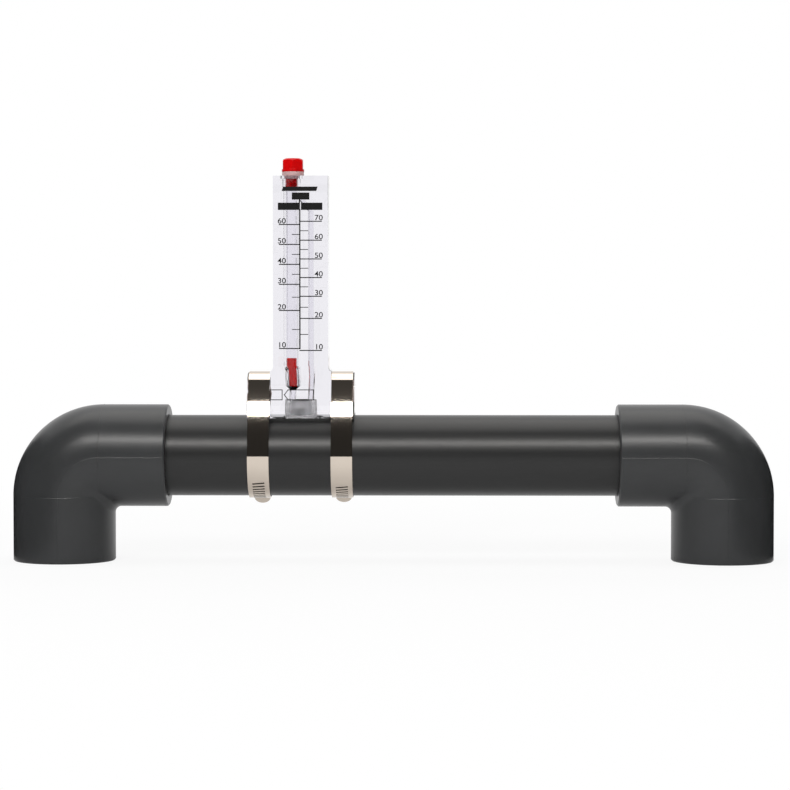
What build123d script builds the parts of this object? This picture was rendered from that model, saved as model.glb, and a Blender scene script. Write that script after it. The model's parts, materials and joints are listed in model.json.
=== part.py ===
"""Inline flow meter: a clear float tube block strapped over a hole in a plastic pipe between two elbows.

Millimetres. +X runs along the pipe towards its inlet end, the graduated face looks along -Y, +Z is up.
The origin lies on the ground, midway between the two elbows' legs. Flow runs from +X to -X.
"""

import os
from math import asin, atan2, cos, degrees, radians, sin, sqrt

from build123d import *

# Pipe, one and a half inch, heavy wall
pipe_od = 48.26
pipe_wall = 5.08

# Socket elbows
leg_spacing = 394.0
socket_gap = 0.07
socket_depth = 34.9
corner_to_stop = 28.1
hub_wall = 6.3
waterway_step = 0.55
bend_radius = 24.0
corner_radius = 4.0
rim_edge = 0.8
mouth_edge = 0.8
pipe_stop_gap = 0.5

# Meter block, its heights above the saddle's crest
block_offset = -54.6
block_width = 32.5
block_depth = 25.4
block_height = 140.47
ear_height = 23.77
ear_margin = 0.8
shoulder_step = 1.95
neck_radius = 4.0

# Saddle gasket
gasket_thickness = 1.7
wrap_gap = 0.05

# Float bore and its passages
bore_offset = -5.0
bore_top_d = 9.3
bore_foot_d = 8.8
seat_port_d = 4.2
seat_port_length = 5.9
seat_depth = 2.0
return_offset = 5.9
return_d = 3.74
return_stop = 21.0
cross_port_d = 3.0

# Pressure probe and its seals
probe_head_d = 18.4
probe_head_height = 4.1
probe_shank_d = 14.1
probe_gap = 0.1
probe_reach = 14.0
probe_port_d = 2.8
probe_port_offset = 4.6
impact_port_drop = 8.0
static_port_rise = 4.0
port_gasket_thickness = 0.8
probe_ring_gap = 0.075
probe_ring_room = 0.57

# Float
float_gap = 0.2
float_head_height = 6.2
float_stem_d = 6.9
float_tip_d = 4.8
float_tip_height = 1.8
float_length = 18.4
float_seat_gap = 0.3

# Threaded cap and its seal
cap_hex = 11.8
cap_hex_height = 6.5
cap_hex_edge = 0.7
cap_flange_d = 13.4
cap_flange_height = 1.4
cap_thread_d = 10.2
cap_thread_length = 9.4
cap_thread_gap = 0.08
cap_stub_d = 8.6
cap_stub_length = 2.0
seal_wall = 1.07
seal_lip = 0.3
seal_proud = 3.0
seal_sunk = 2.0
seal_gap = 0.1
bore_cone_height = 2.4

# Worm-drive clamps
band_step = 0.1
band_width = 12.7
band_thickness = 0.65
side_bow = 140.0
strip_start_angles = (36.0, 42.0)
housing_angles = (132.0, 133.0)
slot_pitch = 2.5
slot_width = 1.0
slot_length = 7.2
slot_slant = 6.5
tongue_width = 8.0
tail_past_housing = 9.0
slot_margin_angle = 3.0
notch_margin_angle = 2.0
saddle_thickness = 0.6
sheet = 0.8
housing_length = 14.8
worm_d = 7.8
worm_root_d = 5.8
worm_mesh = 0.3
worm_gap = 0.15
ridge_foot = 1.5
ridge_crest = 0.3
ridge_count = 5
journal_d = 4.8
journal_gap = 0.1
end_float = 0.1
washer_d = 8.8
washer_height = 0.8
screw_hex = 8.0
screw_hex_height = 4.0
driver_slot_width = 1.1
driver_slot_depth = 1.3
leg_gap = 0.15
toe_reach = 2.2

# Values worked out from the ones above
pipe_r = pipe_od / 2
socket_bore = pipe_od + 2 * socket_gap
hub_od = socket_bore + 2 * hub_wall
hub_r = hub_od / 2
hub_length = corner_to_stop + socket_depth
waterway = pipe_od - 2 * (pipe_wall + waterway_step)
axis_rise = hub_length
half_spacing = leg_spacing / 2
saddle_r = pipe_r + wrap_gap + gasket_thickness + wrap_gap
shoulder_half = block_width / 2 + shoulder_step
clamp_spread = shoulder_half + band_step + band_width / 2
ear_length = 2 * (clamp_spread + band_width / 2 + ear_margin)
block_rise = saddle_r + block_height
ear_rise = saddle_r + ear_height
ear_axis_rise = ear_rise - block_depth / 2
base_bore_d = probe_head_d + 2 * probe_gap
probe_hole = probe_shank_d + 2 * probe_gap
probe_ring_section = (base_bore_d - probe_shank_d) / 2 - 2 * probe_ring_gap
probe_neck_rise = saddle_r + probe_ring_section + probe_ring_room
probe_top_rise = probe_neck_rise + probe_head_height
base_bore_roof = probe_top_rise + port_gasket_thickness
seat_rise = base_bore_roof + seat_port_length
bore_foot_rise = seat_rise + seat_depth
float_foot_rise = seat_rise + float_seat_gap
float_head_d = bore_foot_d - 2 * float_gap
return_top_rise = block_rise - return_stop
bore_mouth_rise = block_rise + seal_proud
plug_foot_rise = bore_mouth_rise - cap_thread_length
seal_bore_r = cap_thread_d / 2 + cap_thread_gap
seal_sunk_r = seal_bore_r + seal_wall
seal_proud_r = seal_sunk_r + seal_lip

ground_centre = Pos(0, 0, axis_rise)
block_centre = Pos(block_offset, 0, axis_rise)


def upright(diameter, low, high):
    """A cylinder standing on Z between two heights."""
    rod = Cylinder(diameter / 2, high - low, align=(Align.CENTER, Align.CENTER, Align.MIN))
    return Pos(0, 0, low) * rod


def along_x(diameter, start, end):
    """A cylinder lying on the X axis between two places."""
    rod = Cylinder(diameter / 2, end - start, align=(Align.CENTER, Align.CENTER, Align.MIN))
    return Plane.YZ.offset(start) * rod


def turned(points):
    """A solid turned about Z from a closed outline of (radius, height) points."""
    outline = make_face(Plane.XZ * Polyline(*points, close=True))
    return revolve(outline, Axis.Z)


# Pipe


def make_pipe():
    half = half_spacing - hub_length + socket_depth - pipe_stop_gap
    tube = along_x(pipe_od, -half, half) - along_x(pipe_od - 2 * pipe_wall, -half, half)
    hole = Pos(block_offset, 0, 0) * upright(probe_hole, 0, pipe_od)
    return ground_centre * (tube - hole)


# Elbow, with its corner at the origin, one hub along +X and the other along -Z


def hub():
    """One hub on +X from the end of the bend to its face."""
    barrel = along_x(hub_od, bend_radius, hub_length)
    face_edge = barrel.edges().filter_by(GeomType.CIRCLE).sort_by(Axis.X)[-1]
    return chamfer(face_edge, rim_edge)


def hub_cavity():
    """The waterway, the pipe socket and its lead-in on +X."""
    passage = along_x(waterway, 0, hub_length)
    socket = along_x(socket_bore, hub_length - socket_depth, hub_length)
    lead = Cone(
        socket_bore / 2,
        socket_bore / 2 + mouth_edge,
        mouth_edge,
        align=(Align.CENTER, Align.CENTER, Align.MIN),
    )
    return passage + socket + Plane.YZ.offset(hub_length - mouth_edge) * lead


def corner_round():
    """The rounded inner corner: one section carried along the line where the two hubs meet."""
    start_angle = degrees(asin((bend_radius - corner_radius) / hub_r))
    diagonal = Plane(origin=(0, 0, 0), x_dir=(0, 1, 0), z_dir=(-1, 0, -1))
    arc_size = 180 - 2 * start_angle
    meeting = diagonal * EllipticalCenterArc((0, 0), hub_r, hub_r * sqrt(2), start_angle, arc_size=arc_size)
    section_plane = Plane(origin=meeting @ 0, x_dir=(1, 0, 0), z_dir=(0, -1, 0))
    side = corner_radius + rim_edge
    square = Pos(-rim_edge, rim_edge) * Rectangle(side, side, align=(Align.MIN, Align.MAX))
    section = section_plane * (square - Pos(corner_radius, -corner_radius) * Circle(corner_radius))
    return sweep(section, path=meeting, normal=(0, 1, 0))


def make_elbow():
    quarter_turn = Rot(0, 90, 0)
    ring = Circle(hub_r) & Pos(0, hub_r) * Rectangle(hub_od, 2 * (hub_r + bend_radius))
    bend_face = Plane.YZ.offset(bend_radius) * ring
    bend_axis = Axis((bend_radius, 0, -bend_radius), (0, -1, 0))
    bend = revolve(bend_face, bend_axis, 90)
    body = hub() + bend + quarter_turn * hub() + corner_round()
    cavity = hub_cavity() + quarter_turn * hub_cavity() + Sphere(waterway / 2)
    return body - cavity


def make_elbow_outlet():
    return Pos(-half_spacing, 0, axis_rise) * make_elbow()


def make_elbow_inlet():
    return Pos(half_spacing, 0, axis_rise) * mirror(make_elbow(), Plane.YZ)


# Meter block, with the pipe's axis at height zero


def block_blank():
    """The block and its two round-topped ears, before anything is bored."""
    low = (Align.CENTER, Align.MIN)
    tee = Rectangle(block_width, block_rise, align=low) + Rectangle(ear_length, ear_rise, align=low)
    necks = tee.vertices().group_by(Axis.Y)[-2].sort_by(Axis.X)[1:-1]
    tee = fillet(necks, neck_radius)
    tee = tee & Rectangle(2 * shoulder_half, 2 * block_rise)
    middle = extrude(Plane.XZ * tee, block_depth / 2, both=True)
    nose = Rectangle(block_depth, ear_axis_rise, align=low) + Pos(0, ear_axis_rise) * Circle(block_depth / 2)
    ears = extrude(Plane.YZ * nose, ear_length / 2, both=True)
    saddle = along_x(2 * saddle_r, -ear_length, ear_length)
    return middle + ears - saddle


def float_bore():
    """Seat port, seat cone, tapered bore, drill cone and cap thread on the float's own axis."""
    cone_top = plug_foot_rise
    cone_foot = cone_top - bore_cone_height
    recess_r = seal_sunk_r + seal_gap
    seal_floor = block_rise - seal_sunk
    return turned(
        [
            (0, probe_top_rise),
            (seat_port_d / 2, probe_top_rise),
            (seat_port_d / 2, seat_rise),
            (bore_foot_d / 2, bore_foot_rise),
            (bore_top_d / 2, cone_foot),
            (seal_bore_r, cone_top),
            (seal_bore_r, seal_floor),
            (recess_r, seal_floor),
            (recess_r, bore_mouth_rise),
            (0, bore_mouth_rise),
        ]
    )


def cross_port():
    """A slanted port, drilled through the cap's opening, from the float bore down to the return passage."""
    run = return_offset - bore_offset
    drop = plug_foot_rise - return_top_rise
    length = sqrt(run**2 + drop**2)
    start = Plane(origin=(bore_offset, 0, plug_foot_rise), z_dir=(run, 0, -drop))
    return start * Cylinder(cross_port_d / 2, length, align=(Align.CENTER, Align.CENTER, Align.MIN))


def make_meter_block():
    float_way = Pos(bore_offset, 0, 0) * float_bore()
    return_way = Pos(return_offset, 0, 0) * upright(return_d, probe_top_rise, return_top_rise)
    base_way = upright(base_bore_d, 0, base_bore_roof)
    return block_centre * (block_blank() - float_way - return_way - cross_port() - base_way)


# Soft seals under the block


def make_saddle_gasket():
    shell = along_x(2 * (saddle_r - wrap_gap), -ear_length / 2, ear_length / 2)
    shell -= along_x(2 * (pipe_r + wrap_gap), -ear_length, ear_length)
    strip = Box(ear_length, block_depth, pipe_od, align=(Align.CENTER, Align.CENTER, Align.MIN))
    return block_centre * ((shell & strip) - upright(probe_hole, 0, pipe_od))


def ring_seal(inner_d, section, height):
    """An O-ring of round section whose lowest line is at the given height."""
    path_r = inner_d / 2 + section / 2
    return Pos(0, 0, height + section / 2) * Torus(path_r, section / 2)


def make_probe_ring():
    path_d = (base_bore_d + probe_shank_d) / 2
    return block_centre * ring_seal(path_d - probe_ring_section, probe_ring_section, saddle_r)


def probe_bores(low, high):
    """The two passages that line up with the seat port and the return passage."""
    impact = Pos(-probe_port_offset, 0, 0) * upright(probe_port_d, low, high)
    static = Pos(probe_port_offset, 0, 0) * upright(probe_port_d, low, high)
    return impact + static


def make_port_gasket():
    disc = upright(probe_head_d, probe_top_rise, base_bore_roof)
    return block_centre * (disc - probe_bores(probe_top_rise, base_bore_roof))


# Pressure probe: impact port facing the inlet, static port to both sides


def make_pitot_probe():
    head = upright(probe_head_d, probe_neck_rise, probe_top_rise)
    shank = upright(probe_shank_d, -probe_reach, probe_neck_rise)
    impact_bore = Pos(-probe_port_offset, 0, 0) * upright(probe_port_d, -impact_port_drop, probe_top_rise)
    impact_port = Pos(0, 0, -impact_port_drop) * along_x(probe_port_d, -probe_port_offset, probe_shank_d)
    static_bore = Pos(probe_port_offset, 0, 0) * upright(probe_port_d, static_port_rise, probe_top_rise)
    side_drill = Cylinder(probe_port_d / 2, 2 * probe_shank_d)
    static_port = Pos(probe_port_offset, 0, static_port_rise) * Rot(90, 0, 0) * side_drill
    return block_centre * (head + shank - impact_bore - impact_port - static_bore - static_port)


# Float and cap, both on the float bore's axis


def make_float():
    foot = float_foot_rise
    top = foot + float_length
    shape = turned(
        [
            (0, foot),
            (float_tip_d / 2, foot),
            (float_stem_d / 2, foot + float_tip_height),
            (float_stem_d / 2, top - float_head_height),
            (float_head_d / 2, top - float_head_height),
            (float_head_d / 2, top),
            (0, top),
        ]
    )
    return block_centre * Pos(bore_offset, 0, 0) * shape


def make_cap_seal():
    ring = turned(
        [
            (seal_bore_r, block_rise - seal_sunk),
            (seal_sunk_r, block_rise - seal_sunk),
            (seal_sunk_r, block_rise),
            (seal_proud_r, block_rise),
            (seal_proud_r, bore_mouth_rise),
            (seal_bore_r, bore_mouth_rise),
        ]
    )
    return block_centre * Pos(bore_offset, 0, 0) * ring


def make_cap():
    shoulder = bore_mouth_rise + cap_flange_height
    crown = shoulder + cap_hex_height
    flats = RegularPolygon(cap_hex / 2, 6, major_radius=False, rotation=30)
    head = Pos(0, 0, shoulder) * extrude(flats, cap_hex_height)
    head &= turned(
        [
            (0, shoulder),
            (cap_hex, shoulder),
            (cap_hex, crown - cap_hex / 2 - cap_hex_edge),
            (cap_hex / 2, crown - cap_hex_edge),
            (cap_hex / 2 - 2 * cap_hex_edge, crown),
            (0, crown),
        ]
    )
    flange = upright(cap_flange_d, bore_mouth_rise, shoulder)
    thread = upright(cap_thread_d, plug_foot_rise, bore_mouth_rise)
    stub = upright(cap_stub_d, plug_foot_rise - cap_stub_length, plug_foot_rise)
    return block_centre * Pos(bore_offset, 0, 0) * (head + flange + thread + stub)


# Worm-drive clamp, in the YZ plane through the pipe's axis, with angles from the front down to the bottom


class Clamp:
    """The lines that one clamp's band, saddle, housing and screw share."""

    def __init__(self, place, start_angle, housing_angle):
        self.place = place
        self.start = start_angle
        self.housing = housing_angle
        self.inner_r = pipe_r + 2 * wrap_gap
        self.top_r = block_depth / 2 + wrap_gap
        half_angle = degrees(housing_length / 2 / self.inner_r)
        stack = band_thickness + saddle_thickness + 2 * wrap_gap
        lift_at_entry = 1 - cos(radians(housing_angle - half_angle - start_angle))
        self.shift = stack / lift_at_entry
        self.strip_r = self.inner_r + self.shift
        turn = radians(180 + start_angle)
        self.strip_y = -self.shift * cos(turn)
        self.strip_z = -self.shift * sin(turn)
        self.half_angle = degrees(housing_length / 2 / self.strip_r)

    def strip_point(self, angle, radius):
        """A place at an angle and a radius about the slotted strip's own centre."""
        turn = radians(180 + angle)
        return (self.strip_y + radius * cos(turn), self.strip_z + radius * sin(turn))

    def bench(self):
        """The plane on the strip at the housing: x across the band, y outward, z towards the screw's head."""
        y, z = self.strip_point(self.housing, self.strip_r + band_thickness)
        turn = radians(self.housing)
        return Plane(origin=(0, y, z), x_dir=(1, 0, 0), z_dir=(0, sin(turn), -cos(turn)))

    def sector(self, inner, outer, width, start, end):
        """A curved plate about the strip's centre between two radii and two angles."""
        centre = (self.strip_y, self.strip_z)
        arc_out = CenterArc(centre, outer, 180 + start, end - start)
        arc_in = CenterArc(centre, inner, 180 + start, end - start)
        sides = [Line(arc_in @ 0, arc_out @ 0), Line(arc_in @ 1, arc_out @ 1)]
        face = make_face(Plane.YZ * Curve([arc_in, arc_out, *sides]))
        return extrude(face, width / 2, both=True)

    def stand(self, shape):
        """Puts a clamp piece where it belongs on the meter."""
        return Pos(block_offset + self.place, 0, axis_rise) * shape


def band_arcs(clamp, offset):
    """The band's line, offset outward, from its fixed end round the back, over the ear, to its tail."""
    top = ear_axis_rise
    bow_r = side_bow - clamp.top_r
    pipe_bow_r = side_bow - clamp.inner_r
    centre_z = (top**2 - bow_r**2 + pipe_bow_r**2) / (2 * top)
    centre_y = sqrt(pipe_bow_r**2 - centre_z**2)
    pipe_turn = degrees(atan2(-centre_z, centre_y))
    top_turn = degrees(atan2(top - centre_z, centre_y))
    fixed = 180 + clamp.housing
    tail = clamp.housing + clamp.half_angle + degrees(tail_past_housing / clamp.strip_r)
    strip_centre = (clamp.strip_y, clamp.strip_z)
    return [
        CenterArc((0, 0), clamp.inner_r + offset, fixed, 360 + pipe_turn - fixed),
        CenterArc((-centre_y, centre_z), side_bow + offset, pipe_turn, top_turn - pipe_turn),
        CenterArc((0, top), clamp.top_r + offset, top_turn, 180 - 2 * top_turn),
        CenterArc((centre_y, centre_z), side_bow + offset, 180 - top_turn, top_turn - pipe_turn),
        CenterArc((0, 0), clamp.inner_r + offset, 180 - pipe_turn, clamp.start + pipe_turn),
        CenterArc(strip_centre, clamp.strip_r + offset, 180 + clamp.start, tail - clamp.start),
    ]


def make_band(clamp):
    """The formed band: a plain run, a slotted run that climbs over the fixed end, and that narrowed end."""
    inner = band_arcs(clamp, 0)
    outer = band_arcs(clamp, band_thickness)
    ends = [Line(inner[0] @ 0, outer[0] @ 0), Line(inner[-1] @ 1, outer[-1] @ 1)]
    face = make_face(Plane.YZ * Curve([*inner, *outer, *ends]))
    band = extrude(face, band_width / 2, both=True)
    notch_start = clamp.housing - clamp.half_angle
    notch_end = clamp.housing + clamp.half_angle + notch_margin_angle
    notch_top = clamp.strip_r - saddle_thickness - wrap_gap
    notch = clamp.sector(clamp.inner_r - 2 * clamp.shift, notch_top, 2 * band_width, notch_start, notch_end)
    keep = Box(tongue_width, 4 * pipe_od, 4 * pipe_od)
    band -= notch - keep
    step = degrees(slot_pitch / (clamp.strip_r + band_thickness / 2))
    tail_angle = clamp.half_angle + degrees(tail_past_housing / clamp.strip_r)
    before = int((clamp.housing - clamp.start - slot_margin_angle) / step)
    after = int((tail_angle - slot_margin_angle) / step)
    cutter = Rot(0, 0, slot_slant) * Box(slot_length, slot_width, 4 * band_thickness)
    for index in range(-before, after + 1):
        angle = clamp.housing + index * step
        y, z = clamp.strip_point(angle, clamp.strip_r + band_thickness / 2)
        turn = radians(180 + angle)
        spot = Plane(origin=(0, y, z), x_dir=(1, 0, 0), z_dir=(0, cos(turn), sin(turn)))
        band -= spot * cutter
    return clamp.stand(band)


def make_clamp_saddle(clamp):
    """The curved plate between the band's fixed end and its slotted run."""
    outer = clamp.strip_r - wrap_gap
    width = band_width + 2 * leg_gap - 2 * wrap_gap
    reach = clamp.half_angle
    plate = clamp.sector(
        outer - saddle_thickness, outer, width, clamp.housing - reach, clamp.housing + reach
    )
    return clamp.stand(plate)


def arch_outline(half_width, crown_r, axis, foot, ledge):
    """Half-round over the screw on upright sides, widening to the band's width below the ledge."""
    low = (Align.CENTER, Align.MIN)
    crown = Pos(0, axis) * Circle(crown_r)
    sides = Pos(0, foot) * Rectangle(2 * crown_r, axis - foot, align=low)
    skirt = Pos(0, foot) * Rectangle(2 * half_width, ledge - foot, align=low)
    return crown + sides + skirt


def make_clamp_housing(clamp):
    """The stamped housing: an arch over the worm, a wall round each journal, and toes under the saddle."""
    axis = worm_d / 2 - worm_mesh
    half = housing_length / 2
    inner_half = band_width / 2 + leg_gap
    worm_r = worm_d / 2 + worm_gap
    foot = -4 * (band_thickness + saddle_thickness)
    ledge = sheet
    bench = clamp.bench()
    outer_arch = arch_outline(inner_half + sheet, worm_r + sheet, axis, foot, ledge + sheet)
    outside = extrude(outer_arch, half, both=True)
    inside = extrude(arch_outline(inner_half, worm_r, axis, foot, ledge), half, both=True)
    wall_face = arch_outline(worm_r, worm_r, axis, worm_mesh, ledge) - Pos(0, axis) * Circle(
        journal_d / 2 + journal_gap
    )
    wall = extrude(wall_face, sheet)
    walls = Pos(0, 0, half - sheet) * wall + Pos(0, 0, -half) * wall
    toe_top = clamp.strip_r - 2 * wrap_gap - saddle_thickness
    toe_floor = toe_top - saddle_thickness
    start = clamp.housing - clamp.half_angle
    end = clamp.housing + clamp.half_angle
    toes = clamp.sector(toe_floor, toe_top, 2 * (inner_half + sheet), start, end)
    toes -= Box(2 * (inner_half - toe_reach), 4 * pipe_od, 4 * pipe_od)
    quarter = 90
    floor = clamp.sector(clamp.strip_r / 2, toe_floor, 2 * pipe_od, start - quarter, end + quarter)
    return clamp.stand((bench * (outside - inside) - floor) + bench * walls + toes)


def make_clamp_screw(clamp):
    """The worm screw: ridges in the band's slots, a journal at each end and a slotted hexagon head."""
    axis = worm_d / 2 - worm_mesh
    half = housing_length / 2
    root_end = half - sheet - end_float
    collar = half + end_float
    outline = [(0, -half - sheet), (journal_d / 2, -half - sheet), (journal_d / 2, -root_end)]
    outline.append((worm_root_d / 2, -root_end))
    for index in range(ridge_count):
        middle = (index - (ridge_count - 1) / 2) * slot_pitch
        outline.append((worm_root_d / 2, middle - ridge_foot / 2))
        outline.append((worm_d / 2, middle - ridge_crest / 2))
        outline.append((worm_d / 2, middle + ridge_crest / 2))
        outline.append((worm_root_d / 2, middle + ridge_foot / 2))
    outline.append((worm_root_d / 2, root_end))
    outline.append((journal_d / 2, root_end))
    outline.append((journal_d / 2, collar))
    outline.append((washer_d / 2, collar))
    outline.append((washer_d / 2, collar + washer_height))
    outline.append((0, collar + washer_height))
    worm = turned(outline)
    head = extrude(RegularPolygon(screw_hex / 2, 6, major_radius=False), screw_hex_height)
    slot = Box(screw_hex, driver_slot_width, driver_slot_depth, align=(Align.CENTER, Align.CENTER, Align.MAX))
    slot = Pos(0, 0, screw_hex_height) * scale(slot, (2, 1, 1))
    screw = worm + Pos(0, 0, collar + washer_height) * (head - slot)
    return clamp.stand(clamp.bench() * Pos(0, axis, 0) * screw)


nodes = {
    "pipe": make_pipe(),
    "elbow_inlet": make_elbow_inlet(),
    "elbow_outlet": make_elbow_outlet(),
    "meter_block": make_meter_block(),
    "saddle_gasket": make_saddle_gasket(),
    "pitot_probe": make_pitot_probe(),
    "probe_o_ring": make_probe_ring(),
    "port_gasket": make_port_gasket(),
    "float": make_float(),
    "cap": make_cap(),
    "cap_seal": make_cap_seal(),
}
sides = ("left", "right")
for side, sign, start, housing in zip(sides, (-1, 1), strip_start_angles, housing_angles):
    strap = Clamp(sign * clamp_spread, start, housing)
    nodes[f"clamp_band_{side}"] = make_band(strap)
    nodes[f"clamp_saddle_{side}"] = make_clamp_saddle(strap)
    nodes[f"clamp_housing_{side}"] = make_clamp_housing(strap)
    nodes[f"clamp_screw_{side}"] = make_clamp_screw(strap)

os.makedirs("parts", exist_ok=True)
for name, shape in nodes.items():
    export_step(shape, f"parts/{name}.step")
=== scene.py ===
"""The finish of an inline flow meter on a grey plastic pipe with an elbow at each end."""

import json
from math import atan2, cos, hypot, pi, radians, sin

import bpy
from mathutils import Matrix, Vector

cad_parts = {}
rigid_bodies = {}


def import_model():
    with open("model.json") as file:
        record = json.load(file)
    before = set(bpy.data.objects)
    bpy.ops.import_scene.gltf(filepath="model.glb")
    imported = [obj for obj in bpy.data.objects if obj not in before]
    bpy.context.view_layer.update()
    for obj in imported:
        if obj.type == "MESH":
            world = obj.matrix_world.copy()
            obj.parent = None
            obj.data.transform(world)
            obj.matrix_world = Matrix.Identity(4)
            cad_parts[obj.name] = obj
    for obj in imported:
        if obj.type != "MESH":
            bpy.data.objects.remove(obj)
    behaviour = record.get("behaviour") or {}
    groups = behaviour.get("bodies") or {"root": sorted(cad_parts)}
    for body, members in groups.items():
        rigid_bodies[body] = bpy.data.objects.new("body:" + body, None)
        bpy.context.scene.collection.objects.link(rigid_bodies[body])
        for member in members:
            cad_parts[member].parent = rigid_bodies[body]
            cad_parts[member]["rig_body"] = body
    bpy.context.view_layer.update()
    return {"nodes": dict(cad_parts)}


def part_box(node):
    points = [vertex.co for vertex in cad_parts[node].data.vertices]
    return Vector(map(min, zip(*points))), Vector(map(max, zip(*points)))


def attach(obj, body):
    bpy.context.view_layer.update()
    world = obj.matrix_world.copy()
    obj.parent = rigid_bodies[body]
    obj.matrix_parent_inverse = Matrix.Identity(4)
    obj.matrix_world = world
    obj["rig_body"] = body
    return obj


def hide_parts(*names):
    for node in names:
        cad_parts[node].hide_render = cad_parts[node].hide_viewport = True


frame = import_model()
nodes = frame["nodes"]
MM = 0.001

# Where the main pieces lie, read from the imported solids
block_low, block_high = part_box("meter_block")
pipe_low, pipe_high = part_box("pipe")
inlet_low, inlet_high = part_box("elbow_inlet")
probe_low, probe_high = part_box("pitot_probe")
axis_z = (pipe_low.z + pipe_high.z) / 2
block_x = (block_low.x + block_high.x) / 2
face_y = block_low.y
hub_r = (inlet_high.y - inlet_low.y) / 2

# The hole bored into the block's base round the probe's head, in millimetres
probe_room = 0.1
base_r = (probe_high.x - probe_low.x) / 2 / MM + probe_room
base_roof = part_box("port_gasket")[1].z / MM

# Camera, from the rims' ellipses and the pipe's taper in the photograph
camera_place = (25.7 * MM, -1480 * MM, axis_z + 82.1 * MM)
camera_aim = (1.3 * MM, 0, axis_z + 36.1 * MM)
camera_lens = 112.8


# Selection and modelling helpers


def deselect():
    if bpy.context.object and bpy.context.object.mode != "OBJECT":
        bpy.ops.object.mode_set(mode="OBJECT")
    bpy.ops.object.select_all(action="DESELECT")


def pick(*pieces):
    """Selects only these objects and makes the first one active."""
    deselect()
    for piece in pieces:
        piece.select_set(True)
    bpy.context.view_layer.objects.active = pieces[0]


def settle(piece):
    """Puts a piece's place into its mesh, so that the object sits at the origin."""
    pick(piece)
    bpy.ops.object.transform_apply(location=True, rotation=True, scale=True)
    return piece


def join(pieces, name):
    pick(*pieces)
    bpy.ops.object.join()
    piece = bpy.context.object
    piece.name = piece.data.name = name
    return piece


def copy_of(node):
    """A merged copy of a CAD node's mesh that stands for it."""
    source = nodes[node]
    piece = bpy.data.objects.new(node + "_finished", source.data.copy())
    bpy.context.scene.collection.objects.link(piece)
    pick(piece)
    bpy.ops.object.mode_set(mode="EDIT")
    bpy.ops.mesh.select_all(action="SELECT")
    bpy.ops.mesh.remove_doubles(threshold=0.002 * MM)
    bpy.ops.mesh.customdata_custom_splitnormals_clear()
    bpy.ops.object.mode_set(mode="OBJECT")
    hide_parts(node)
    return piece


def smooth(piece, angle=30):
    pick(piece)
    bpy.ops.object.shade_smooth_by_angle(angle=radians(angle))
    return piece


def modify(piece, kind, **settings):
    """Adds a modifier with these settings and applies it."""
    pick(piece)
    modifier = piece.modifiers.new(kind.lower(), kind)
    for key, value in settings.items():
        setattr(modifier, key, value)
    bpy.ops.object.modifier_apply(modifier=modifier.name)
    return piece


def soft_edges(piece, width, angle=35):
    """Rounds every edge sharper than an angle."""
    limit = {"limit_method": "ANGLE", "angle_limit": radians(angle)}
    modify(piece, "BEVEL", width=width, segments=2, **limit)
    return smooth(piece, 40)


# Shader sums


class Term:
    """A shader socket that takes part in Python sums."""

    def __init__(self, shading, socket):
        self.shading = shading
        self.socket = socket

    def sum(self, operation, first, second):
        return self.shading.math(operation, first, second)

    def __add__(self, other):
        return self.sum("ADD", self, other)

    def __radd__(self, other):
        return self.sum("ADD", other, self)

    def __sub__(self, other):
        return self.sum("SUBTRACT", self, other)

    def __rsub__(self, other):
        return self.sum("SUBTRACT", other, self)

    def __mul__(self, other):
        return self.sum("MULTIPLY", self, other)

    def __rmul__(self, other):
        return self.sum("MULTIPLY", other, self)


class Shading:
    """The node tree of one material or of the world."""

    def __init__(self, tree):
        self.tree = tree

    def node(self, kind, settings=None, values=None, output=0):
        """Adds a node: settings first, then its sockets' values or links. Returns one output."""
        made = self.tree.nodes.new("ShaderNode" + kind)
        for key, value in (settings or {}).items():
            setattr(made, key, value)
        for key, value in (values or {}).items():
            if isinstance(value, Term):
                self.tree.links.new(value.socket, made.inputs[key])
            else:
                made.inputs[key].default_value = value
        return Term(self, made.outputs[output])

    def math(self, operation, *values):
        return self.node("Math", {"operation": operation}, dict(enumerate(values)))

    def step(self, value, low, high):
        """Rises smoothly from 0 to 1 between two values."""
        settings = {"interpolation_type": "SMOOTHSTEP"}
        return self.node("MapRange", settings, {"Value": value, "From Min": low, "From Max": high})

    def place(self, stretch=(1, 1, 1)):
        """Object coordinates in millimetres, stretched."""
        where = self.node("TexCoord", output="Object")
        size = tuple(s / MM for s in stretch)
        return self.node("Mapping", values={"Vector": where, "Scale": size})

    def along(self, axis):
        """One object coordinate in millimetres."""
        return self.node("SeparateXYZ", values={0: self.place()}, output=axis)

    def noise(self, scale, stretch=(1, 1, 1), detail=2.0):
        values = {"Vector": self.place(stretch), "Scale": scale, "Detail": detail}
        return self.node("TexNoise", values=values)

    def blend(self, amount, first, second):
        """A colour between two, by an amount from 0 to 1."""
        return self.node("Mix", {"data_type": "RGBA"}, {0: amount, 6: first, 7: second}, output=2)

    def seen_plainly(self):
        """1 for rays that show the background: straight, mirrored or through glass."""
        straight = self.node("LightPath", output="Is Camera Ray")
        mirrored = self.node("LightPath", output="Is Glossy Ray")
        through = self.node("LightPath", output="Is Transmission Ray")
        return self.math("MAXIMUM", self.math("MAXIMUM", straight, mirrored), through)


class Finish(Shading):
    """One material: its principled shader and whatever feeds it."""

    def __init__(self, name, slot, **uniform):
        self.material = bpy.data.materials.new(name)
        self.material.use_nodes = True
        super().__init__(self.material.node_tree)
        self.shader = self.tree.nodes["Principled BSDF"]
        self.slot = slot
        for key, value in uniform.items():
            self.shader.inputs[key.replace("_", " ")].default_value = value

    def feed(self, key, term):
        self.tree.links.new(term.socket, self.shader.inputs[key])

    def bump(self, height, strength, distance):
        values = {"Height": height, "Strength": strength, "Distance": distance}
        self.feed("Normal", self.node("Bump", values=values))

    def dress(self, *pieces):
        for piece in pieces:
            piece.data.materials.clear()
            piece.data.materials.append(self.material)


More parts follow.
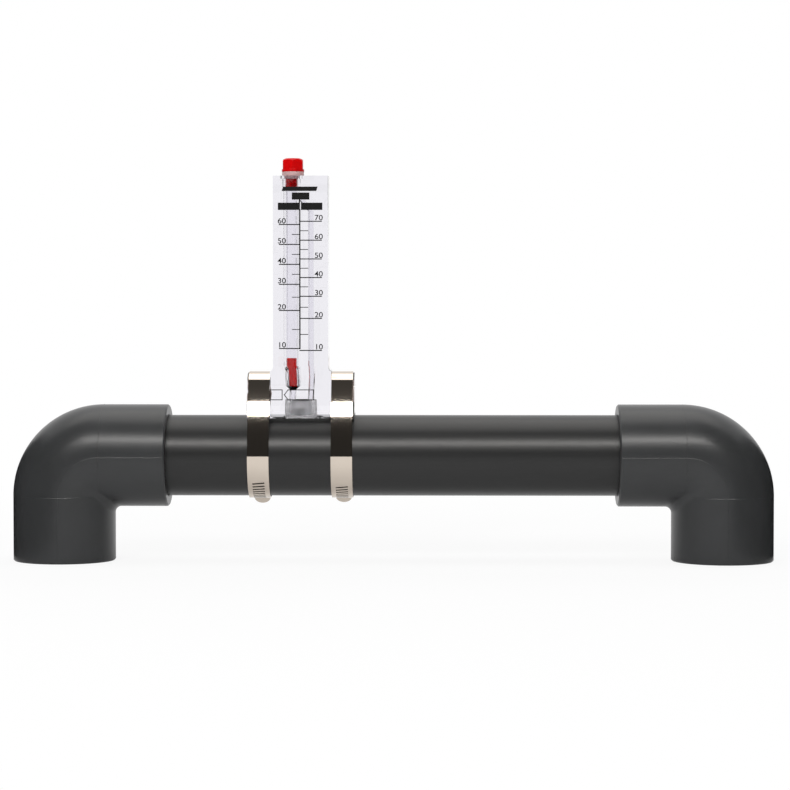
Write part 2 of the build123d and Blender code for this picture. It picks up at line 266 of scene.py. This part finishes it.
def grey(value):
    return (value, value, value, 1)


# Finishes


def fitting_finish():
    """Moulded plastic: semi-matt dark grey with faint flow clouds and a fine pebble."""
    finish = Finish("moulded_pvc", "pvc_fitting", Specular_IOR_Level=0.35)
    clouds = finish.noise(0.05, detail=4)
    pebble = finish.noise(2.5)
    dark, light = (0.029, 0.030, 0.030, 1), (0.038, 0.039, 0.041, 1)
    finish.feed("Base Color", finish.blend(clouds, dark, light))
    finish.feed("Roughness", 0.27 + 0.08 * clouds)
    finish.bump(pebble + 2 * clouds, 0.2, 0.02 * MM)
    return finish


def pipe_finish():
    """Extruded plastic: smooth, darker and glossier, with faint lines along its length."""
    finish = Finish("extruded_pvc", "pvc_pipe", Specular_IOR_Level=0.35)
    lines = finish.noise(1.6, stretch=(0.01, 1, 1), detail=3)
    finish.feed("Base Color", finish.blend(lines, grey(0.015), grey(0.021)))
    finish.feed("Roughness", 0.3 + 0.06 * lines)
    finish.bump(lines, 0.1, 0.01 * MM)
    return finish


def acrylic_finish():
    """Clear cast acrylic with polished faces and a hole in its base that is still frosted."""
    finish = Finish("clear_acrylic", "clear_acrylic", IOR=1.49, Transmission_Weight=1.0)
    waves = finish.noise(0.08, detail=1)
    across = finish.along(0) - block_x / MM
    deep = finish.along(1)
    radius = finish.math("SQRT", across * across + deep * deep)
    inside = finish.step(radius, base_r + 0.3, base_r + 0.15)
    bored = inside * finish.step(finish.along(2), base_roof + 0.3, base_roof + 0.15)
    streaks = finish.noise(0.4, stretch=(1, 1, 0.08), detail=3)
    clear, white = (0.885, 0.875, 0.918, 1), (1, 0.99, 1, 1)
    finish.feed("Base Color", finish.blend(bored, clear, white))
    finish.feed("Roughness", 0.02 * waves + bored * (0.3 + 0.3 * streaks))
    finish.bump(waves, 0.03, 0.02 * MM)
    chalky = finish.node("BsdfDiffuse", values={"Color": (0.96, 0.96, 0.98, 1)})
    foot = finish.step(finish.along(2), base_roof - 2, base_roof - 6)
    amount = bored * (0.05 + 0.15 * foot + 0.4 * finish.step(streaks, 0.42, 0.58))
    mix = finish.node("MixShader", values={0: amount, 2: chalky})
    finish.tree.links.new(finish.shader.outputs[0], mix.socket.node.inputs[1])
    finish.tree.links.new(mix.socket, finish.tree.nodes["Material Output"].inputs[0])
    return finish


def frosted_finish():
    """Machined acrylic that scatters light."""
    finish = Finish("frosted_acrylic", "frosted_acrylic", IOR=1.49, Transmission_Weight=0.15)
    rings = finish.noise(1.5, stretch=(0.3, 0.3, 4), detail=2)
    finish.feed("Base Color", finish.blend(rings, grey(0.88), grey(0.98)))
    finish.feed("Roughness", 0.3 + 0.25 * rings)
    return finish


def rubber_finish():
    finish = Finish("black_rubber", "black_rubber")
    grain = finish.noise(3)
    finish.feed("Base Color", finish.blend(grain, grey(0.006), grey(0.014)))
    finish.feed("Roughness", 0.6 + 0.25 * grain)
    finish.bump(grain, 0.3, 0.05 * MM)
    return finish


def red_finish(name, low, high):
    """Moulded red plastic, between two strengths of red, with a slight orange peel."""
    finish = Finish(name, "red_plastic", Specular_IOR_Level=0.12)
    peel = finish.noise(0.6, detail=1)
    finish.feed("Base Color", finish.blend(peel, (low, 0.0, 0.001, 1), (high, 0.001, 0.001, 1)))
    finish.feed("Roughness", 0.25 + 0.12 * peel)
    finish.bump(peel, 0.08, 0.02 * MM)
    return finish


def seal_finish():
    """Pale translucent seal, with painted red light from the cap as a pink tint in its colour."""
    finish = Finish("pale_seal", "pale_seal", Transmission_Weight=0.35)
    clouds = finish.noise(0.8)
    # The pink in both colours is painted red light from the cap
    finish.feed("Base Color", finish.blend(clouds, (0.86, 0.5, 0.5, 1), (0.9, 0.68, 0.66, 1)))
    finish.feed("Roughness", 0.3 + 0.2 * clouds)
    return finish


def steel_finish(name, slot, stretch, rough):
    """Rolled stainless steel with fine lines along one direction."""
    finish = Finish(name, slot, Metallic=1.0)
    lines = finish.noise(1.5, stretch=stretch, detail=3)
    stain = finish.noise(0.06, detail=3)
    finish.feed("Base Color", finish.blend(stain, (0.63, 0.55, 0.47, 1), (0.7, 0.62, 0.54, 1)))
    finish.feed("Roughness", rough + 0.05 * lines)
    finish.bump(lines, 0.04, 0.003 * MM)
    return finish


def ink_finish():
    finish = Finish("screen_ink", "black_rubber", Specular_IOR_Level=0.15)
    grain = finish.noise(4)
    finish.feed("Base Color", finish.blend(grain, grey(0.004), grey(0.012)))
    finish.feed("Roughness", 0.35 + 0.2 * grain)
    return finish


moulded = fitting_finish()
extruded = pipe_finish()
acrylic = acrylic_finish()
frosted = frosted_finish()
rubber = rubber_finish()
red = red_finish("cap_red", 0.54, 0.66)
# Painted light: the float is the cap's red plastic, painted brighter to stand in for the light that
# the acrylic round it keeps out
float_red_painted_light = red_finish("float_red_painted_light", 0.88, 0.98)
pale = seal_finish()
band_steel = steel_finish("rolled_steel", "stainless", (6, 0.03, 0.03), 0.03)
screw_steel = steel_finish("turned_steel", "screw_steel", (1, 1, 1), 0.2)
ink = ink_finish()


# Printed face: all marks lie a hair in front of the block

ink_lift = 0.02 * MM
line_width = 0.62


def on_face(x, z):
    """A place on the front face from millimetres across the block and above the pipe's axis."""
    return Vector((block_x + x * MM, face_y - ink_lift, axis_z + z * MM))


def printed_plane(x, z, length, width, turn=0):
    """A flat printed rectangle centred on a place of the face, turned in the face."""
    deselect()
    bpy.ops.mesh.primitive_plane_add(size=MM, location=on_face(x, z), rotation=(pi / 2, -turn, 0))
    piece = bpy.context.object
    piece.scale = (length, width, 1)
    return settle(piece)


def bar(left, right, low, high):
    """A printed bar between two sides and two heights."""
    return printed_plane((left + right) / 2, (low + high) / 2, right - left, high - low)


def slanted_bar(left, right, low, high, lean):
    """A bar whose top edge is moved sideways."""
    piece = bar(left, right, low, high)
    middle = on_face(0, (low + high) / 2).z
    bpy.ops.object.mode_set(mode="EDIT")
    bpy.ops.mesh.select_all(action="DESELECT")
    bpy.ops.object.mode_set(mode="OBJECT")
    for corner in piece.data.vertices:
        corner.select = corner.co.z > middle
    bpy.ops.object.mode_set(mode="EDIT")
    bpy.ops.transform.translate(value=(lean * MM, 0, 0))
    bpy.ops.object.mode_set(mode="OBJECT")
    return piece


def stroke(x1, z1, x2, z2, width=line_width):
    """A printed line between two places, with square ends half its width beyond them."""
    length = Vector((x2 - x1, z2 - z1)).length + width
    return printed_plane((x1 + x2) / 2, (z1 + z2) / 2, length, width, atan2(z2 - z1, x2 - x1))


def outline(corners, width=0.5):
    """Strokes round a closed shape."""
    return [stroke(*here, *there, width) for here, there in zip(corners, corners[1:] + corners[:1])]


digit_share = 0.7
digit_stretch = 1.12


def number(value, x, z, height):
    """A plain number, centred on x, standing on z. Its digits fill a share of the text's size."""
    deselect()
    bpy.ops.object.text_add(location=on_face(x, z), rotation=(pi / 2, 0, 0))
    text = bpy.context.object
    text.data.body = str(value)
    text.data.size = height * MM / digit_share
    text.scale.x = digit_stretch
    text.data.align_x = "CENTER"
    text.data.offset = 0.05 * MM
    pick(text)
    bpy.ops.object.convert(target="MESH")
    return settle(bpy.context.object)


# The scales: heights of the numbered and the plain ticks above the pipe's axis, in millimetres
left_majors = {60: 137.5, 50: 125.7, 40: 113.9, 30: 102.1, 20: 86.6, 10: 64.05}
left_minors = (131.6, 119.8, 108.0, 94.45, 75.3)
right_majors = {70: 139.4, 60: 128.2, 50: 117.1, 40: 106.1, 30: 95.0, 20: 81.9, 10: 62.9}
right_minors = (133.8, 122.7, 111.6, 100.6, 88.5, 72.4)
spine_x = -0.3
left_end, left_short = -12.4, -4.8
right_end, right_short = 12.5, 4.4
spine_top = 152.2
bar_foot = 146.1
spine_width, stem_width, minor_width = 0.8, 0.35, 0.45
numeral_height = 3.15
numeral_gap = 0.65
left_numeral_x = left_end + 1.4
right_numeral_x = right_end - 1.6


def print_scales():
    """The spine between the two scales, with their ticks and numbers."""
    marks = [stroke(spine_x, left_majors[10], spine_x, bar_foot, spine_width)]
    marks.append(stroke(spine_x, bar_foot, spine_x, spine_top, stem_width))
    for value, z in left_majors.items():
        marks.append(stroke(left_end, z, spine_x, z))
        marks.append(number(value, left_numeral_x, z + numeral_gap, numeral_height))
    for value, z in right_majors.items():
        marks.append(stroke(spine_x, z, right_end, z))
        marks.append(number(value, right_numeral_x, z + numeral_gap, numeral_height))
    for z in left_minors:
        marks.append(stroke(left_short, z, spine_x, z, minor_width))
    for z in right_minors:
        marks.append(stroke(spine_x, z, right_short, z, minor_width))
    return join(marks, "scale_print")


def print_header():
    """Plain black bars over the two scales."""
    bars = [
        slanted_bar(-11.0, 9.5, 157.3, 159.9, 0.8),
        bar(-5.0, 5.4, spine_top, 156.4),
        bar(-13.3, -0.5, bar_foot, 150.4),
        bar(0.4, 13.1, bar_foot, 150.4),
    ]
    return join(bars, "header_print")


def print_arrow():
    """The outlines of the flow arrow, which points at the outlet, and of a box beside it."""
    tip, shoulder, end = -9.6, -7.35, 7.8
    low, high = 33.6, 39.5
    point = (tip, (low + high) / 2)
    arrow = outline([point, (shoulder, high), (end, high), (end, low), (shoulder, low)])
    box_left, box_right = -18.0, -10.9
    box = outline([(box_left, low), (box_right, low), (box_right, high), (box_left, high)])
    return join(arrow + box, "arrow_print")


prints = [print_scales(), print_header(), print_arrow()]
ink.dress(*prints)


# Pieces that stand for the CAD nodes, with rounded edges and smooth faces

# Each node's finish and the width of its rounded edges in millimetres
finished = {
    "pipe": (extruded, 0),
    "elbow_inlet": (moulded, 0),
    "elbow_outlet": (moulded, 0),
    "meter_block": (acrylic, 0.25),
    "saddle_gasket": (rubber, 0.1),
    "pitot_probe": (frosted, 0),
    "probe_o_ring": (rubber, 0),
    "port_gasket": (rubber, 0),
    "float": (float_red_painted_light, 0.2),
    "cap": (red, 0.25),
    "cap_seal": (pale, 0.2),
}
for side in ("left", "right"):
    finished[f"clamp_band_{side}"] = (band_steel, 0)
    finished[f"clamp_saddle_{side}"] = (band_steel, 0)
    finished[f"clamp_housing_{side}"] = (band_steel, 0)
    finished[f"clamp_screw_{side}"] = (screw_steel, 0)

pieces = {}
for node, (finish, edge) in finished.items():
    piece = copy_of(node)
    if edge:
        soft_edges(piece, edge * MM)
    else:
        smooth(piece)
    finish.dress(piece)
    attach(piece, nodes[node]["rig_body"])
    pieces[node] = piece
for piece in prints:
    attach(piece, "root")


def flatten_saddle(block):
    """Shades the curved saddle flat, because rays that graze a smooth one go black."""
    saddle_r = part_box("saddle_gasket")[1].z - axis_z + 0.15 * MM
    pick(block)
    bpy.ops.object.mode_set(mode="EDIT")
    bpy.ops.mesh.select_mode(type="FACE")
    bpy.ops.mesh.select_all(action="DESELECT")
    bpy.ops.object.mode_set(mode="OBJECT")
    for face in block.data.polygons:
        face.select = hypot(face.center.y, face.center.z - axis_z) < saddle_r
    bpy.ops.object.mode_set(mode="EDIT")
    bpy.ops.mesh.faces_shade_flat()
    bpy.ops.object.mode_set(mode="OBJECT")


flatten_saddle(pieces["meter_block"])


# Mould lines on the elbows, where the halves and the cores of the mould met

bend_r = 24 * MM
line_r = 0.22 * MM
proud = 0.08 * MM
rim_room = 1 * MM


def quarter_line(centre, toward):
    """The parting line along the middle of the bend, as a quarter of a thin ring."""
    deselect()
    bpy.ops.mesh.primitive_torus_add(
        location=centre, rotation=(pi / 2, 0, 0), major_radius=bend_r, minor_radius=line_r,
        major_segments=96, minor_segments=8,
    )
    ring = settle(bpy.context.object)
    bpy.ops.object.mode_set(mode="EDIT")
    bpy.ops.mesh.select_all(action="SELECT")
    bpy.ops.mesh.bisect(plane_co=centre, plane_no=(0, 0, -1), clear_outer=True, use_fill=True)
    bpy.ops.mesh.select_all(action="SELECT")
    bpy.ops.mesh.bisect(plane_co=centre, plane_no=(-toward, 0, 0), clear_outer=True, use_fill=True)
    bpy.ops.object.mode_set(mode="OBJECT")
    return ring


def hub_line(centre, turn, reach):
    """A line round a hub where its core met the bend."""
    deselect()
    bpy.ops.mesh.primitive_torus_add(
        location=centre, rotation=turn, major_radius=reach, minor_radius=line_r,
        major_segments=128, minor_segments=8,
    )
    return settle(bpy.context.object)


def rod_line(start, end):
    """A straight parting line."""
    start, end = Vector(start), Vector(end)
    deselect()
    bpy.ops.mesh.primitive_cylinder_add(
        vertices=8, radius=line_r, depth=(end - start).length, location=(start + end) / 2,
        rotation=(end - start).to_track_quat("Z", "Y").to_euler(),
    )
    return settle(bpy.context.object)


def mould_lines(node, out):
    """All mould lines of one elbow; out is the side that looks away from the pipe."""
    low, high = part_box(node)
    leg_x = (low.x + hub_r) if out < 0 else (high.x - hub_r)
    corner_x = leg_x - out * bend_r
    face_x = high.x if out < 0 else low.x
    bend_z = axis_z - bend_r
    skin = hub_r - line_r + proud
    lines = [
        hub_line((leg_x, 0, bend_z), (0, 0, 0), skin),
        hub_line((corner_x, 0, axis_z), (0, pi / 2, 0), skin),
    ]
    for side in (-1, 1):
        y = side * skin
        lines.append(quarter_line((corner_x, y, bend_z), out))
        lines.append(rod_line((leg_x, y, rim_room), (leg_x, y, bend_z)))
        lines.append(rod_line((corner_x, y, axis_z), (face_x + out * rim_room, y, axis_z)))
    piece = join(lines, node + "_mould_lines")
    moulded.dress(piece)
    smooth(piece)
    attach(piece, nodes[node]["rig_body"])


mould_lines("elbow_outlet", -1)
mould_lines("elbow_inlet", 1)


# Thread on the cap's plug


def cap_thread():
    """A single ridge wound round the plug from under the flange to its foot."""
    cap_low, cap_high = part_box("cap")
    middle = Vector(((cap_low.x + cap_high.x) / 2, 0, 0))
    pitch, crest, turns = 1.25 * MM, 0.35 * MM, 5
    steps = 48 * turns
    plug_r = 5.1 * MM
    root = plug_r - 0.6 * crest
    top_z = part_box("cap_seal")[0].z - 0.4 * MM
    start = (root, 0, top_z - turns * pitch)
    upright = (pi / 2, 0, 0)
    deselect()
    bpy.ops.mesh.primitive_circle_add(vertices=3, radius=crest, location=start, rotation=upright)
    ridge = settle(bpy.context.object)
    turn, rise = 2 * pi * turns, turns * pitch
    modify(ridge, "SCREW", angle=turn, screw_offset=rise, steps=steps, render_steps=steps)
    bpy.ops.object.mode_set(mode="EDIT")
    bpy.ops.mesh.select_all(action="SELECT")
    bpy.ops.mesh.remove_doubles(threshold=0.001 * MM)
    bpy.ops.mesh.fill_holes(sides=3)
    bpy.ops.mesh.normals_make_consistent(inside=False)
    bpy.ops.object.mode_set(mode="OBJECT")
    ridge.location = middle
    settle(ridge)
    ridge.name = "cap_thread"
    red.dress(ridge)
    smooth(ridge)
    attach(ridge, nodes["cap"]["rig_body"])


cap_thread()


# Camera


def set_camera():
    data = bpy.data.cameras.new("view")
    data.lens = camera_lens
    data.sensor_width = 36
    data.clip_start = 0.05
    data.clip_end = 20
    camera = bpy.data.objects.new("view", data)
    bpy.context.scene.collection.objects.link(camera)
    camera.location = camera_place
    aim = Vector(camera_aim) - Vector(camera_place)
    camera.rotation_euler = aim.to_track_quat("-Z", "Y").to_euler()
    bpy.context.scene.camera = camera


# Floor, sky and lamps


def set_floor():
    """White floor whose glow gives way a little to its own lit shading near the meter, and with
    painted shade under the pipe that only mirrors see.
    """
    deselect()
    bpy.ops.mesh.primitive_plane_add(size=14, location=(0, 0, 0))
    floor = bpy.context.object
    floor.name = "floor"
    finish = Finish("floor_white", None)
    x, y = finish.along(0), finish.along(1)
    away = finish.math("SQRT", x * x + y * y)
    glow = finish.node("Emission", values={"Strength": 1.0})
    paint = finish.node("BsdfDiffuse", values={"Color": grey(0.8)})
    near = 1 - finish.step(away, 150, 700)
    # Painted shade: the floor's glow is weakened under the pipe for mirrored rays only, so the pipe
    # and band mirror a darker floor there
    painted_shade_under = 1 - finish.step(finish.math("ABSOLUTE", y), 15, 150)
    mirrored = finish.node("LightPath", output="Is Glossy Ray")
    share = finish.seen_plainly() * (1 - 0.12 * near) * (1 - 0.7 * painted_shade_under * mirrored)
    mix = finish.node("MixShader", values={0: share, 1: paint, 2: glow})
    finish.tree.links.new(mix.socket, finish.tree.nodes["Material Output"].inputs[0])
    floor.data.materials.append(finish.material)


def set_sky():
    """White as a background, much weaker as a light."""
    world = bpy.data.worlds.new("studio")
    bpy.context.scene.world = world
    world.use_nodes = True
    sky = Shading(world.node_tree)
    white = sky.node("Background", values={"Color": grey(1), "Strength": 1.0})
    dim = sky.node("Background", values={"Color": grey(1), "Strength": 0.3})
    mix = sky.node("MixShader", values={0: sky.seen_plainly(), 1: dim, 2: white})
    sky.tree.links.new(mix.socket, sky.tree.nodes["World Output"].inputs[0])


warm_white = (1, 0.98, 0.95, 1)
grey_through_glass = 0.62


def only_mirrored(piece, glow):
    """Paints a studio screen, dark or glowing, for mirrors; through glass it is a soft grey."""
    finish = Finish(piece.name, None)
    mirrored = finish.node("Emission", values={"Color": warm_white, "Strength": glow})
    through = finish.node("Emission", values={"Color": grey(1), "Strength": grey_through_glass})
    glass = finish.node("LightPath", output="Is Transmission Ray")
    mix = finish.node("MixShader", values={0: glass, 1: mirrored, 2: through})
    finish.tree.links.new(mix.socket, finish.tree.nodes["Material Output"].inputs[0])
    piece.data.materials.append(finish.material)
    piece.visible_camera = False
    piece.visible_shadow = False
    piece.visible_diffuse = False


def add_screen(name, distance, low, high, reach, glow, front=1):
    """A curved wall in front or, with -1, behind, between two elevations, reaching to each side."""
    bottom, top = radians(low), radians(high)
    deselect()
    bpy.ops.mesh.primitive_cone_add(
        vertices=96, radius1=distance * cos(bottom), radius2=distance * cos(top),
        depth=distance * (sin(top) - sin(bottom)), end_fill_type="NOTHING",
        location=(0, 0, axis_z + distance * (sin(top) + sin(bottom)) / 2),
    )
    screen = settle(bpy.context.object)
    screen.name = name
    bpy.ops.object.mode_set(mode="EDIT")
    for way in (-1, 1):
        bpy.ops.mesh.select_all(action="SELECT")
        side = (way * cos(radians(reach)), front * sin(radians(reach)), 0)
        bpy.ops.mesh.bisect(plane_co=(0, 0, 0), plane_no=side, clear_outer=True)
    bpy.ops.object.mode_set(mode="OBJECT")
    only_mirrored(screen, glow)


def add_side_flag(way):
    """A dark board beside one elbow, which its leg mirrors."""
    deselect()
    place, lean = (way * 0.37, -0.025, 0.15), -way * radians(49)
    bpy.ops.mesh.primitive_plane_add(size=1, location=place, rotation=(0, lean, 0))
    board = bpy.context.object
    board.name = "side_flag"
    board.scale = (0.4, 0.45, 1)
    settle(board)
    only_mirrored(board, 0)
    board.visible_transmission = False


def add_lamp(name, place, size, power):
    """A soft rectangular lamp aimed at the middle of the meter."""
    data = bpy.data.lights.new(name, "AREA")
    data.shape = "RECTANGLE"
    data.size, data.size_y = size
    data.energy = power
    lamp = bpy.data.objects.new(name, data)
    bpy.context.scene.collection.objects.link(lamp)
    lamp.location = place
    aim = Vector((0, 0, axis_z)) - Vector(place)
    lamp.rotation_euler = aim.to_track_quat("-Z", "Y").to_euler()
    lamp.visible_glossy = False
    lamp.visible_transmission = False


set_camera()
set_floor()
set_sky()
add_screen("low_flag", distance=3.5, low=-0.8, high=38, reach=90, glow=0.03)
add_screen("high_flag", distance=3.5, low=38, high=76, reach=90, glow=0.06)
add_screen("soft_box", distance=3.4, low=34, high=41, reach=30, glow=20)
add_screen("top_box", distance=3.5, low=78, high=89, reach=90, glow=2.2)
add_screen("back_box", distance=3.5, low=55, high=89, reach=90, glow=2.2, front=-1)
add_side_flag(-1)
add_side_flag(1)
add_lamp("key", place=(-0.4, -1.8, 1.2), size=(1.2, 0.6), power=28)
add_lamp("top", place=(0, 0.2, 2.0), size=(1.6, 1.2), power=16)
add_lamp("back", place=(0.3, 1.8, 1.2), size=(1.2, 0.8), power=12)

bpy.context.scene.view_settings.view_transform = "Standard"
